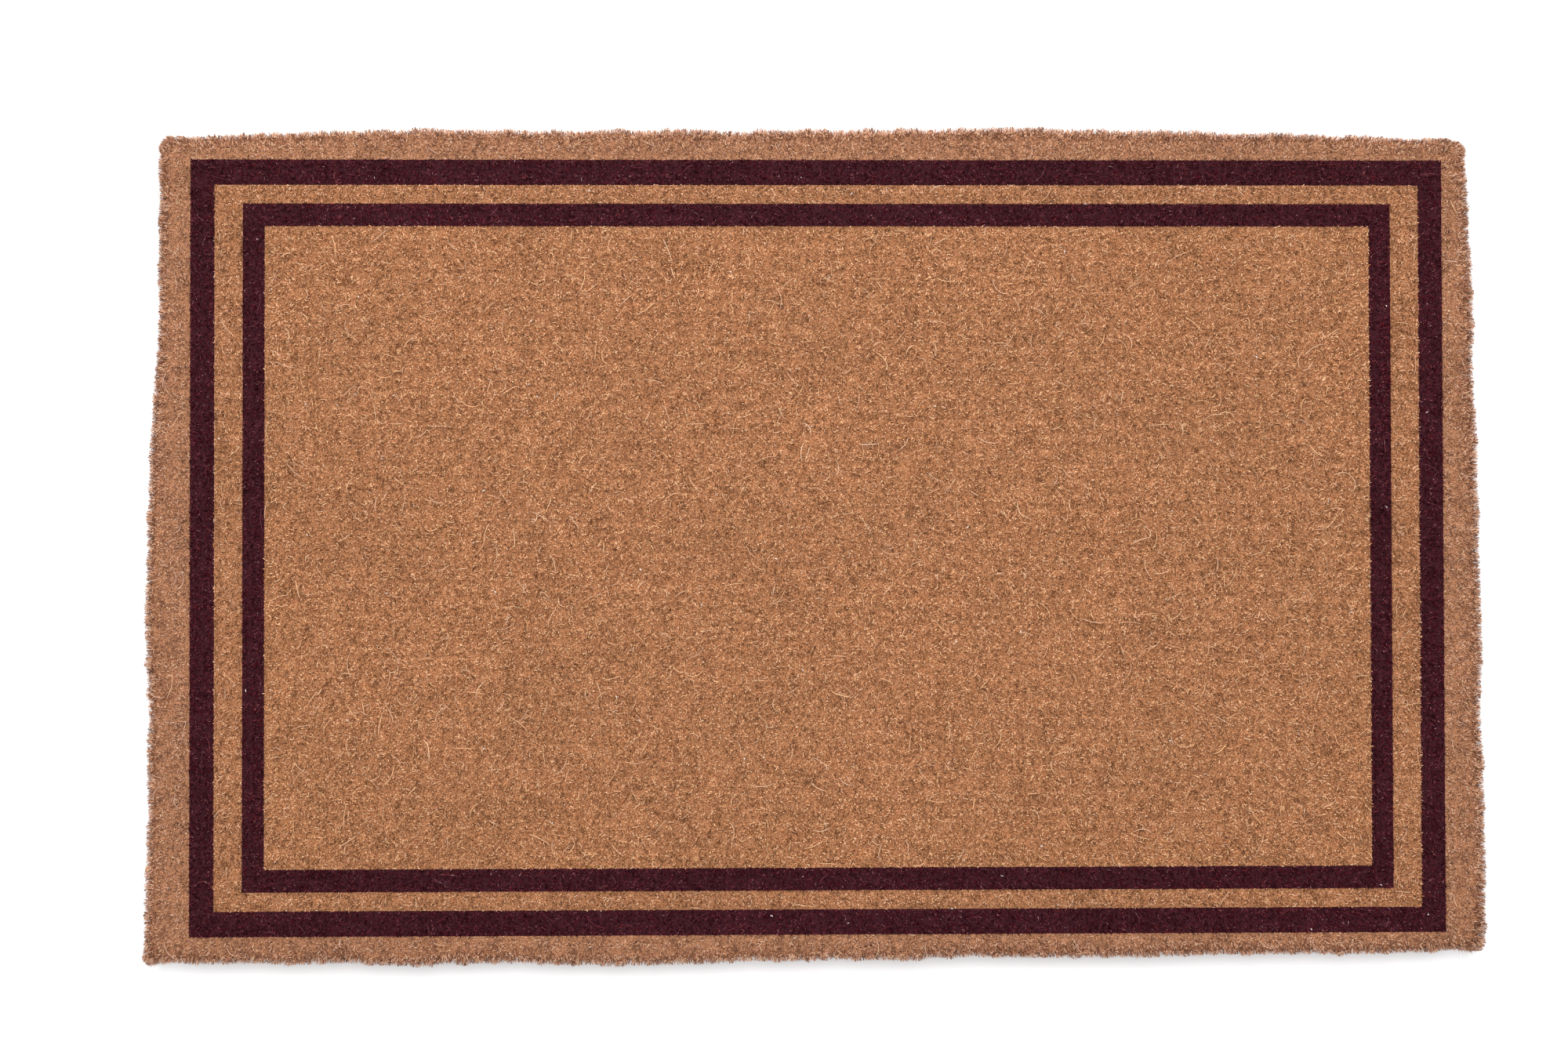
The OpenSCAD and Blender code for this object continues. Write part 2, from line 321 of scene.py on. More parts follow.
def fibre_mesh(paths, radii, tones, rng):
    """Closed three-sided fibres along paths of any number of points"""
    count, points = paths.shape[:2]
    ring = three_ways(unit(paths[:, -1] - paths[:, 0]), rng)
    vertices = (paths[:, :, None] + radii[:, :, None, None] * ring[:, None]).reshape(count, 3 * points, 3)
    faces = []
    for level in range(points - 1):
        for j in range(3):
            a, b = 3 * level + j, 3 * level + (j + 1) % 3
            faces += [(a, b, b + 3), (a, b + 3, a + 3)]
    last = 3 * (points - 1)
    faces += [(0, 2, 1), (last, last + 1, last + 2)]
    # painted shade along the fibre: full at its first point, none at its last
    return fibre_data(vertices, faces, tones, np.repeat(np.linspace(0, 1, points), 3))


def yarn_mesh(path, radius_across, radius_up, sides, reference=(0, 0, 1), tone=0.5):
    """Closed round or oval yarn along a path; reference is never along the path"""
    way = unit(np.gradient(path, axis=0))
    across = unit(np.cross(np.asarray(reference, float), way))
    upright = np.cross(way, across)
    count = len(path)
    radius_across = np.broadcast_to(radius_across, count)[:, None, None]
    radius_up = np.broadcast_to(radius_up, count)[:, None, None]
    turns = (2 * math.pi * np.arange(sides) / sides)[None, :, None]
    ring = radius_across * np.cos(turns) * across[:, None] + radius_up * np.sin(turns) * upright[:, None]
    vertices = (path[:, None] + ring).reshape(-1, 3)
    level = sides * np.arange(count - 1)[:, None]
    j = np.arange(sides)[None]
    a, b = level + j, level + (j + 1) % sides
    walls = np.stack([a, b, b + sides, a, b + sides, a + sides], axis=-1).reshape(-1, 3)
    fan = np.arange(1, sides - 1)
    first = np.stack([0 * fan, fan + 1, fan], axis=1)
    last = np.stack([0 * fan, fan, fan + 1], axis=1) + sides * (count - 1)
    return {
        "co": vertices,
        "tris": np.concatenate([walls, first, last]),
        "tone": np.full(len(vertices), tone),
        "painted_shade_lift": np.ones(len(vertices)),
    }


def loose_hairs(path, radius, count, rng):
    """Closed bent fibres that stand out of a yarn along its path, and never reach under the mat"""
    at = rng.integers(1, len(path) - 1, count)
    way = unit(path[at + 1] - path[at - 1])
    out = unit(np.cross(way, rng.normal(size=(count, 3))))
    along = way * rng.normal(0, HAIR_SLIDE, count)[:, None]
    long = rng.uniform(*HAIR_LENGTH, count)[:, None]
    root = path[at] + out * radius * 0.7
    bend = root + out * long * 0.7 + along * 0.4
    tip = root + out * long + along * 1.3 - [0, 0, HAIR_LOWEST]
    paths = np.stack([root, bend, tip], axis=1)
    paths[..., 2] = np.maximum(paths[..., 2], HAIR_LOWEST)
    widths = rng.uniform(*HAIR_WIDTH, count)
    return bent_fibre_mesh(paths, widths, rng.uniform(0.4, 0.9, count), rng)


BED_DEPTH = 0.0052  # from the sheared surface down to the bed
BED_LUMP = 0.0009
BED_LUMP_SIZE = 0.004
BED_EDGE_IN = 0.001  # how far inside the ground's edge the bed's foot stands

# Section of the bed in the outermost zone, from the ground's edge (0) to the zone's inner edge (1)
SECTION_SHARE = (0.0, 0.14, 0.28, 0.40, 0.52, 0.66, 1.0)
SECTION_HEIGHT = (0.0, 0.26, 0.56, 0.80, 0.95, 1.0, 1.0)
SECTION_FLARE = (1.0, 0.74, 0.44, 0.20, 0.0, 0.0, 0.0)
SECTION_INSET = (0.0015, 0.0034, 0.0031, 0.0027, 0.0039, 0.0082, 0.0085)  # from the outline of the tips


def quads(a, b, c, d):
    """Triangles of the squares between four arrays of vertex numbers"""
    return np.concatenate([np.stack([a, b, c], -1).reshape(-1, 3), np.stack([a, c, d], -1).reshape(-1, 3)])


def bed_mesh(low, high):
    """Closed lumpy bed of packed fibre under the tips, over a rectangle in plan"""
    xs, ys = (grid_lines(low[axis], high[axis], axis) for axis in (0, 1))
    grid = np.stack(np.meshgrid(xs, ys, indexing="ij"), axis=-1)
    plan = grid.reshape(-1, 2)
    co = bed_surface(plan)
    nx, ny = grid.shape[:2]
    index = np.arange(nx * ny).reshape(nx, ny)
    top = quads(index[:-1, :-1], index[1:, :-1], index[1:, 1:], index[:-1, 1:])
    rim = np.concatenate([index[:, 0], index[-1, 1:], index[-2::-1, -1], index[0, -2:0:-1]])
    count = len(rim)
    lip = nx * ny + np.arange(count)
    base, centre = lip + count, nx * ny + 2 * count
    lip_after, base_after = np.roll(lip, -1), np.roll(base, -1)
    walls = quads(base, base_after, lip_after, lip)
    under = np.stack([np.full(count, centre), base_after, base], 1)
    under_plan = np.sign(plan) * np.minimum(np.abs(plan), np.abs(co[:, :2]))  # the foot never leans out
    foot = np.column_stack([under_plan[rim], np.full(count, PILE_FOOT)])
    foot_middle = [(xs[0] + xs[-1]) / 2, (ys[0] + ys[-1]) / 2, PILE_FOOT]
    co = np.concatenate([co, co[rim], foot, [foot_middle]])
    return {
        "co": co,
        "tris": np.concatenate([top, walls, under]),
        "tone": np.full(len(co), 0.5),
        "painted_shade_lift": np.zeros(len(co)),
    }


def margin_width(side):
    """Width on the ground of the outermost zone of one side"""
    low, high = zone_rectangle("margin_pile_" + side)
    return {
        "front": GROUND_Y + high[1],
        "back": GROUND_Y - low[1],
        "left": GROUND_X + high[0],
        "right": GROUND_X - low[0],
    }[side]


def margin_share(plan):
    """0 at the ground's edge, 1 at the outermost zone's inner edge, more further in"""
    x, y = plan[:, 0], plan[:, 1]
    into = {"front": GROUND_Y + y, "back": GROUND_Y - y, "left": GROUND_X + x, "right": GROUND_X - x}
    return np.minimum.reduce([depth / margin_width(side) for side, depth in into.items()])


def bed_surface(plan):
    """Points of the bed's top: domed over each tuft and leaning out at the mat's edge"""
    offset = (plan - tuft_middle(plan)) / TUFT
    dome = np.cos(math.pi * offset[:, 0]) * np.cos(math.pi * offset[:, 1])
    lumps = BED_LUMP * (0.7 * dome + 0.5 * value_noise(plan, BED_LUMP_SIZE, "bed lumps"))
    share = margin_share(plan)
    height = np.interp(share, SECTION_SHARE, SECTION_HEIGHT)
    top = PILE_TOP - BED_DEPTH + lumps - PILE_FOOT
    now = inside(plan)
    from_edge = np.minimum(GROUND_X - np.abs(plan[:, 0]), GROUND_Y - np.abs(plan[:, 1]))
    flare = now - from_edge
    wanted = flare * np.interp(share, SECTION_SHARE, SECTION_FLARE)
    wanted += np.interp(share, SECTION_SHARE, SECTION_INSET)
    shoulder = SECTION_SHARE[5]
    wanted += (now - wanted) * np.clip((share - shoulder) / (1 - shoulder), 0, 1)
    way = outward(plan, BED_FAN_DEPTH)
    slower = np.maximum(np.abs(way).max(axis=1), 0.7)  # a slanting way nears the outline more slowly
    slower += (1 - slower) * np.clip((0.9 - height) / 0.3, 0, 1)  # the lower part stays back
    lean = now - wanted
    lean = np.where(share < 1, np.where(lean > 0, lean / slower, lean), 0)
    return np.column_stack([plan + way * lean[:, None], PILE_FOOT + top * height])


def grid_lines(low, high, axis):
    """Places of a bed's grid lines along one axis, closer together at the mat's edge"""
    step = TUFT[axis] / 3
    edge = (GROUND_X, GROUND_Y)[axis] - BED_EDGE_IN
    low_width, high_width = (margin_width(side) for side in (("left", "right"), ("front", "back"))[axis])
    lines = np.linspace(low, high, max(int(round((high - low) / step)), 3) + 1)
    shares = np.linspace(0, 1, 11)
    if low < -edge:
        low = -edge
        lines = np.append(lines[lines > low_width - edge + step / 3], shares * low_width - edge)
    if high > edge:
        high = edge
        lines = np.append(lines[lines < edge - high_width - step / 3], edge - shares * high_width)
    return np.unique(np.clip(lines, low, high).round(7))


def make_piece(name, parts, node, materials):
    """One mesh object, from parts that are (mesh data, material number); it replaces a CAD node"""
    starts = np.cumsum([0] + [len(part["co"]) for part, _ in parts])[:-1]
    co = np.concatenate([part["co"] for part, _ in parts])
    tris = np.concatenate([part["tris"] + start for (part, _), start in zip(parts, starts)])
    numbers = np.concatenate([np.full(len(part["tris"]), number) for part, number in parts])
    mesh = bpy.data.meshes.new(name)
    mesh.vertices.add(len(co))
    mesh.vertices.foreach_set("co", co.astype(np.float32).ravel())
    mesh.loops.add(tris.size)
    mesh.loops.foreach_set("vertex_index", tris.astype(np.int32).ravel())
    mesh.polygons.add(len(tris))
    mesh.polygons.foreach_set("loop_start", np.arange(0, tris.size, 3, dtype=np.int32))
    for material in materials:
        mesh.materials.append(material)
    mesh.polygons.foreach_set("material_index", numbers.astype(np.int32))
    mesh.polygons.foreach_set("use_smooth", np.ones(len(tris), bool))
    for key in ("tone", "painted_shade_lift"):
        layer = mesh.attributes.new(key, "FLOAT", "POINT")
        layer.data.foreach_set("value", np.concatenate([part[key] for part, _ in parts]).astype(np.float32))
    mesh.update(calc_edges=True)
    mesh.validate()
    piece = bpy.data.objects.new(name, mesh)
    bpy.context.scene.collection.objects.link(piece)
    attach(piece, "root")
    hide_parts(node)


# ---------------- fibres


def top_fibres():
    """Roots and tips of the fibres of the sheared surface, over the whole mat"""
    rng = seeded("top fibres")
    step = 1 / math.sqrt(FIBRES_PER_M2)
    span = np.array([TIP_X, TIP_Y]) + BEYOND_TIPS
    count = np.ceil(2 * span / step).astype(int)
    grid = np.stack(np.meshgrid(*(np.arange(n) for n in count), indexing="ij"), -1).reshape(-1, 2)
    tips = -span + (grid + rng.uniform(-0.35, 1.35, grid.shape)) * step
    tips = np.concatenate([tips, edge_places(rng)])
    tips = tips[inside(tips) > TIP_INSIDE]
    distance_in = inside(tips)
    turn = rng.uniform(0, 2 * math.pi, len(tips))
    stray = FIBRE_LEAN * np.sqrt(rng.uniform(0, 1, len(tips)))
    sway = np.column_stack([np.cos(turn), np.sin(turn)]) * stray[:, None]
    fan = EDGE_FAN * np.clip(1 - distance_in / EDGE_BAND, 0, 1) ** 1.3
    fan = outward(tips, TOP_FAN_DEPTH) * fan[:, None]
    back = TUFT_PULL * (tips - tuft_middle(tips)) + sway + fan + tuft_lean(tips)
    length = np.maximum(np.linalg.norm(back, axis=1), 1e-9)
    back *= np.minimum(1, LONGEST_LEAN / length)[:, None]
    roots = tips - back
    ragged = TIP_RAGGED * rng.uniform(0, 1, len(tips)) ** 1.6
    uneven = TUFT_UNEVEN * tuft_value(tips, "tuft height")
    locks = LOCK_DROP * np.minimum(value_noise(tips, LOCK_SIZE, "lock heights") - 0.1, 0)
    tip_z = sheared_height(distance_in) - ragged + uneven + locks - CREASE_DROP * crease_depth(tips)
    root_z = tip_z - FIBRE_SHOW * rng.uniform(0.85, 1.1, len(tips))
    return np.column_stack([roots, root_z]), np.column_stack([tips, tip_z])


def edge_places(rng):
    """More tips for the band along the mat's edge, where the fibres fan out"""
    span = np.array([TIP_X, TIP_Y]) + BEYOND_TIPS
    count = int(EDGE_EXTRA * FIBRES_PER_M2 * 4 * (span[0] + span[1]) * EDGE_BAND)
    places = rng.uniform(-1, 1, (12 * count, 2)) * span
    depth = inside(places)
    return places[(depth > 0) & (depth < EDGE_BAND * rng.uniform(0, 1, len(places)) ** 0.5)][:count]


def tuft_lean(xy):
    """Each tuft's own slight lean in plan"""
    return TUFT_LEAN * np.column_stack([tuft_value(xy, "lean x"), tuft_value(xy, "lean y")])


def crease_depth(xy):
    """0 in the middle of a tuft, and deepest at the border between tufts"""
    offset = np.abs(xy - tuft_middle(xy)) / TUFT * 2
    border = np.clip((offset - CREASE_FROM) / (1 - CREASE_FROM), 0, 1)
    return CREASE_DEEPEST * border.max(axis=1)


def edge_points(count, rng):
    """Places in plan of the wall's fibres, along the ground's edge and denser near its corners"""
    half = np.array([GROUND_X, GROUND_Y]) - WALL_EDGE_IN
    along_x = rng.uniform(0, 1, count) < half[0] / half.sum()
    side = np.where(rng.uniform(0, 1, count) < 0.5, -1, 1)
    place = rng.uniform(-1, 1, count)
    at_corner = rng.uniform(0, 1, count) < WALL_CORNERS
    near = np.sign(place) * (1 - WALL_CORNER_NEAR * np.abs(place) ** 2.5)
    place = np.where(at_corner, near, place)
    on_x = np.column_stack([place * half[0], side * half[1]])
    on_y = np.column_stack([side * half[0], place * half[1]])
    return np.where(along_x[:, None], on_x, on_y)


def distance_out(places, way):
    """Distance from places in plan to the outline of the tips, along each one's way"""
    tries = np.linspace(0, WALL_FLARE_MOST, 40)
    probe = places[:, None] + way[:, None] * tries[None, :, None]
    outside = inside(probe.reshape(-1, 2)).reshape(len(places), -1) < 0
    return tries[np.argmax(outside, axis=1)]


def wall_tip_heights(count, rng):
    """Heights of the wall's tips: part of them end low, most of those near the foot"""
    share = rng.uniform(0, 1, count)
    upper = rng.uniform(WALL_WIDEST, WALL_TOPMOST, count)
    lowest = PILE_FOOT - WALL_DROOP
    lower = lowest + (WALL_WIDEST - lowest) * rng.uniform(0, 1, count) ** 1.5
    return np.where(share < WALL_SHORT, lower, upper)


def wall_fibres():
    """Paths of the long fibres that lean out round the mat and cover its edge"""
    rng = seeded("wall fibres")
    count = WALL_FIBRES
    edge = edge_points(count, rng)
    normal = outward(edge, WALL_FAN_DEPTH)
    tangent = np.column_stack([-normal[:, 1], normal[:, 0]])
    flare = distance_out(edge, normal)
    pull = WALL_PULL * ((tuft_middle(edge) - edge) * tangent).sum(axis=1)
    root_in = rng.uniform(0, WALL_ROOT_IN, count)
    root = edge - normal * root_in[:, None] + tangent * pull[:, None]
    root_z = PILE_FOOT - rng.uniform(*WALL_ROOT_DEPTH, count)
    tip_z = wall_tip_heights(count, rng)
    lower = np.clip((tip_z - PILE_FOOT) / (WALL_WIDEST - PILE_FOOT), 0, 1)
    over = np.clip((tip_z - WALL_WIDEST) / SHEAR_ROUND, 0, 1)
    trim = SHEAR_ROUND * (1 - np.sqrt(1 - over**2))
    fuzz = np.minimum(rng.exponential(WALL_FUZZ, count), WALL_FUZZ_MOST)
    sunk = rng.uniform(0, WALL_SUNK, count)
    tip_out = WALL_FOOT_OUT + (flare - WALL_FOOT_OUT - TIP_INSIDE) * lower - trim - sunk + fuzz
    slide = rng.normal(0, WALL_SLIDE, count)
    tip = edge + normal * tip_out[:, None] + tangent * slide[:, None]
    bow = tip_out * 0.55 - root_in * 0.2 + rng.normal(0, WALL_BOW, count)
    knee = edge + normal * bow[:, None] + tangent * (0.6 * pull + 0.2 * slide)[:, None]
    start = np.column_stack([root, root_z])
    bend = np.column_stack([knee, 0.45 * root_z + 0.55 * tip_z])
    finish = np.column_stack([tip, tip_z])
    halfway = 0.25 * start + 0.5 * bend + 0.25 * finish
    return np.stack([start, halfway, finish], axis=1)


def stray_fibres():
    """Paths of long curved fibres that lie loose on the sheared surface"""
    rng = seeded("stray fibres")
    points = STRAY_POINTS
    start = rng.uniform(-1, 1, (STRAYS, 2)) * [TIP_X - LOOSE_INSIDE, TIP_Y - LOOSE_INSIDE]
    shortest, longest = STRAY_LENGTH
    length = shortest + (longest - shortest) * rng.uniform(0, 1, STRAYS) ** 2.2
    heading = rng.uniform(0, 2 * math.pi, STRAYS)
    bend = rng.normal(0, STRAY_BEND, STRAYS)
    wobble = rng.normal(0, STRAY_WOBBLE, (STRAYS, points))
    share = np.linspace(0, 1, points)
    turn = heading[:, None] + bend[:, None] * share + np.cumsum(wobble, axis=1) * 0.5
    step = (length / (points - 1))[:, None, None]
    moves = np.stack([np.cos(turn), np.sin(turn)], -1) * step
    plan = start[:, None] + np.cumsum(moves, axis=1) - moves[:, :1]
    lift = rng.uniform(*STRAY_LIFT, STRAYS)[:, None]
    arch = PILE_TOP - STRAY_SUNK + (STRAY_SUNK + lift) * np.sin(math.pi * (share * 0.9 + 0.04)) ** 0.5
    return np.concatenate([plan, arch[..., None]], axis=-1)


def flakes():
    """Paths of short pale scraps of husk among the tips"""
    rng = seeded("flakes")
    middle_xy = rng.uniform(-1, 1, (FLAKES, 2)) * [TIP_X - LOOSE_INSIDE, TIP_Y - LOOSE_INSIDE]
    heading = rng.uniform(0, 2 * math.pi, FLAKES)
    half_length = rng.uniform(*FLAKE_HALF_LENGTH, FLAKES)[:, None]
    half = np.column_stack([np.cos(heading), np.sin(heading)]) * half_length
    bow = np.column_stack([-half[:, 1], half[:, 0]]) * rng.normal(0, 0.35, FLAKES)[:, None]
    plan = np.stack([middle_xy - half, middle_xy + bow, middle_xy + half], axis=1)
    height = PILE_TOP + rng.uniform(*FLAKE_HEIGHT, (FLAKES, 3, 1))
    return np.concatenate([plan, height], axis=2)


# ---------------- materials


# Colours are linear. Stops run from the darkest (0) to the palest (1) fibre.
FIELD_STOPS = [
    (0.00, (0.140, 0.054, 0.020)),
    (0.30, (0.445, 0.187, 0.079)),
    (0.70, (0.740, 0.365, 0.182)),
    (1.00, (0.910, 0.600, 0.370)),
]
MARGIN_STOPS = [
    (0.00, (0.165, 0.072, 0.040)),
    (0.30, (0.408, 0.185, 0.103)),
    (0.70, (0.630, 0.327, 0.200)),
    (1.00, (0.750, 0.500, 0.355)),
]
DYED_STOPS = [
    (0.00, (0.024, 0.003, 0.006)),
    (0.40, (0.064, 0.0060, 0.0108)),
    (0.80, (0.124, 0.0150, 0.0220)),
    (1.00, (0.165, 0.053, 0.060)),
]
BAND_DULLER = (0.94, 0.93, 0.98)  # the band between the stripes, against the field
NATURAL_TINTS = ((1.06, 0.97, 0.81), (0.95, 0.98, 1.11))  # warmest and greyest fibre
DYED_TINTS = ((1.14, 0.80, 0.78), (0.80, 0.92, 1.12))
FLAKE = (0.88, 0.80, 0.72)
FLAKE_FROM = 0.9  # the ramp's place where the fibre tones end and the flake colour begins

# Darkest and lightest colour; the bed is darker than the fibres over it, partly the packed fibre's own tone
# and partly painted shade of the deep pile
BED_COLOURS = {
    "natural": ((0.130, 0.055, 0.024), (0.520, 0.240, 0.110)),
    "dyed": ((0.018, 0.003, 0.006), (0.062, 0.009, 0.015)),
    "margin": ((0.150, 0.068, 0.036), (0.510, 0.242, 0.122)),
}
YARN_COLOURS = {
    "chain": ((0.150, 0.072, 0.030), (0.420, 0.240, 0.120)),
    "stuffer": ((0.110, 0.052, 0.022), (0.340, 0.185, 0.088)),
    "weft": ((0.130, 0.062, 0.026), (0.380, 0.210, 0.100)),
    "edge": ((0.120, 0.058, 0.026), (0.360, 0.200, 0.098)),
    "twine": ((0.260, 0.150, 0.070), (0.560, 0.380, 0.210)),
}


class Shader:
    """A Principled material and short calls for adding nodes to it"""

    def __init__(self, name, roughness, specular):
        self.material = bpy.data.materials.new(name)
        self.material.use_nodes = True
        self.nodes = self.material.node_tree.nodes
        self.links = self.material.node_tree.links
        self.surface = self.nodes["Principled BSDF"]
        self.surface.inputs["Roughness"].default_value = roughness
        self.surface.inputs["Specular IOR Level"].default_value = specular

    def add(self, kind, **inputs):
        node = self.nodes.new(kind)
        for key, value in inputs.items():
            self.put(node.inputs[key.replace("_", " ")], value)
        return node

    def put(self, socket, value):
        if isinstance(value, bpy.types.NodeSocket):
            self.links.new(value, socket)
        else:
            socket.default_value = value

    def attribute(self, name):
        node = self.nodes.new("ShaderNodeAttribute")
        node.attribute_name = name
        return node.outputs["Fac"]

    def place(self):
        return self.nodes.new("ShaderNodeTexCoord").outputs["Object"]

    def noise(self, scale, detail=2.0, vector=None):
        node = self.add("ShaderNodeTexNoise", Scale=scale, Detail=detail)
        self.put(node.inputs["Vector"], vector or self.place())
        return node.outputs["Fac"]

    def ramp(self, factor, stops):
        node = self.nodes.new("ShaderNodeValToRGB")
        elements = node.color_ramp.elements
        while len(elements) < len(stops):
            elements.new(0.5)
        for element, (position, colour) in zip(elements, stops):
            element.position = position
            element.color = (*colour, 1)
        self.put(node.inputs["Fac"], factor)
        return node.outputs["Color"]

    def spread(self, value, low, high, new_low, new_high):
        node = self.add("ShaderNodeMapRange", Value=value, From_Min=low, From_Max=high)
        node.inputs["To Min"].default_value = new_low
        node.inputs["To Max"].default_value = new_high
        return node.outputs["Result"]

    def combine(self, kind, operation, a, b, second=1):
        node = self.nodes.new(kind)
        node.operation = operation
        self.put(node.inputs[0], a)
        self.put(node.inputs[second], b)
        return node.outputs[0]

    def math(self, operation, a, b):
        return self.combine("ShaderNodeMath", operation, a, b)

    def shade(self, colour, brightness):
        """Colour multiplied by a brightness"""
        return self.combine("ShaderNodeVectorMath", "SCALE", colour, brightness, "Scale")

    def multiply(self, colour, tint):
        """Colour multiplied by another, channel by channel"""
        return self.combine("ShaderNodeVectorMath", "MULTIPLY", colour, tint)

    def bump(self, height, distance, strength=1.0):
        node = self.add("ShaderNodeBump", Height=height, Strength=strength, Distance=distance)
        self.put(self.surface.inputs["Normal"], node.outputs["Normal"])

    def finish(self, colour):
        self.put(self.surface.inputs["Base Color"], colour)
        return self.material


def fibre_material(name, stops, warm, grey, root_shade=0.60, specular=0.12, uneven=0.07):
    """Coir fibre: a tone and a tint for each fibre, painted shade towards the roots, slow blotches and fine
    grain
    """
    m = Shader(name, roughness=0.75, specular=specular)
    grain = m.spread(m.noise(420.0), 0.3, 0.7, -0.05, 0.05)
    tone = m.math("ADD", m.math("MULTIPLY", m.attribute("tone"), FLAKE_FROM), grain)
    own = m.math("FRACT", m.math("MULTIPLY", m.attribute("tone"), 37.0), 0.0)
    tint = m.ramp(own, [(0.0, warm), (1.0, grey)])
    stops = [(place * FLAKE_FROM, colour) for place, colour in stops] + [(1.0, FLAKE)]
    colour = m.multiply(m.ramp(tone, stops), tint)
    blotch = m.spread(m.noise(16.0, detail=3.0), 0.3, 0.7, 1 - uneven, 1 + uneven)
    # painted shade: the colour darkens from the tip down to root_shade at the root, as painted_shade_lift
    # falls
    depth = m.spread(m.attribute("painted_shade_lift"), 0.0, 1.0, root_shade, 1.0)
    return m.finish(m.shade(colour, m.math("MULTIPLY", blotch, depth)))


def bed_material(name, dark, light):
    """Packed fibre between the tips: dark, partly its own tone and partly painted shade of the deep pile,
    with fine streaks of lighter fibre
    """
    m = Shader(name, roughness=0.8, specular=0.15)
    return m.finish(m.ramp(m.noise(1300.0, detail=3.0), [(0.36, dark), (0.66, light)]))


def yarn_material(name, dark, light, twist_along, twist=260.0):
    """Spun coir yarn: slanting fibres, the hollows of the twist with painted shade in them, loose fuzz and
    uneven dye
    """
    m = Shader(name, roughness=0.8, specular=0.15)
    slant = math.radians(28 if twist_along == "X" else 62)
    way = m.add("ShaderNodeMapping", Vector=m.place(), Rotation=(0, 0, slant)).outputs["Vector"]
    drawn = m.add("ShaderNodeMapping", Vector=way, Scale=(0.12, 1.0, 1.0)).outputs["Vector"]
    fibres = m.noise(2600.0, detail=3.0, vector=drawn)
    wave = m.add("ShaderNodeTexWave", Vector=way, Scale=twist, Distortion=3.0, Detail=2.0, Detail_Scale=3.0)
    relief_and_painted_shade = m.math("ADD", m.math("MULTIPLY", wave.outputs["Fac"], 0.22), m.math("MULTIPLY", fibres, 0.85))
    m.bump(relief_and_painted_shade, 0.0007, 0.8)
    blotch = m.spread(m.noise(60.0, detail=3.0), 0.3, 0.7, 0.86, 1.12)
    # the relief also sets the colour: painted shade in the twist's hollows, with the real streaks of
    # lighter and darker fibre
    return m.finish(m.shade(m.ramp(relief_and_painted_shade, [(0.3, dark), (0.78, light)]), blotch))


def pile_materials():
    """(bed, fibre) materials by kind of zone"""
    natural_bed = bed_material("coir_bed", *BED_COLOURS["natural"])
    dyed_bed = bed_material("dyed_coir_bed", *BED_COLOURS["dyed"])
    margin_bed = bed_material("coir_bed_margin", *BED_COLOURS["margin"])
    band_stops = [(place, tuple(np.multiply(colour, BAND_DULLER))) for place, colour in FIELD_STOPS]
    field = fibre_material("coir_fibre_field", FIELD_STOPS, *NATURAL_TINTS)
    band = fibre_material("coir_fibre_band", band_stops, *NATURAL_TINTS)
    margin = fibre_material("coir_fibre_margin", MARGIN_STOPS, *NATURAL_TINTS)
    dyed = fibre_material("coir_fibre_dyed", DYED_STOPS, *DYED_TINTS, specular=0.02, uneven=0.20)
    return {
        "field": (natural_bed, field),
        "band": (natural_bed, band),
        "margin": (margin_bed, margin),
        "dyed": (dyed_bed, dyed),
    }


# ---------------- pile pieces


def zone_kind(node):
    """Which of the pile's materials a zone has"""
    if CAD_SLOT[node] == "dyed_pile":
        return "dyed"
    return node.split("_")[0]


def fibre_tones(tips, kind, rng):
    """A tone for each fibre from 0, dark, to 1, pale; fibres of one lock share part of it, and painted
    shade darkens those in the creases between tufts while a little painted light lifts those in their
    middles
    """
    count = len(tips)
    lock = LOCK_TONE * value_noise(tips[:, :2], LOCK_SIZE, "locks")
    # painted shade in the creases between tufts, a little painted light in their middles
    crease_shade = CREASE_PAINTED_SHADE * (0.3 - crease_depth(tips[:, :2]))
    tones = rng.normal(0.5, FIBRE_TONE, count) + lock + crease_shade
    odd = rng.uniform(0, 1, count)
    pale_share = PALE_SHARE["dyed" if kind == "dyed" else "natural"]
    tones = np.where(odd < pale_share, rng.uniform(0.85, 1.0, count), tones)
    tones = np.where(odd > 1 - DARK_SHARE, rng.uniform(0.02, 0.2, count), tones)
    return np.clip(tones, 0.02, 0.98)


def within(points, low, high):
    """True for each point, or each path with all its points, inside a rectangle in plan"""
    return ((points >= low) & (points < high)).reshape(len(points), -1).all(axis=1)


def zone_fibres(node, low, high, roots, tips, rng):
    """Roots and tips, stacked, of the top fibres of one zone; few of them reach far into the next one"""
    mine = within((roots[:, :2] + 3 * tips[:, :2]) / 4, low, high)
    ends = np.stack([roots[mine], tips[mine]], axis=1)
    fuzz = np.minimum(rng.exponential(BORDER_FUZZ, len(ends)), BORDER_FUZZ_MOST)
    open_ends = node.endswith(("left", "right"))  # the same colour goes on there
    over = np.column_stack([fuzz, np.full(len(ends), LONGEST_LEAN) if open_ends else fuzz])[:, None]
    ends[..., :2] = np.clip(ends[..., :2], low - over, high + over)
    return ends


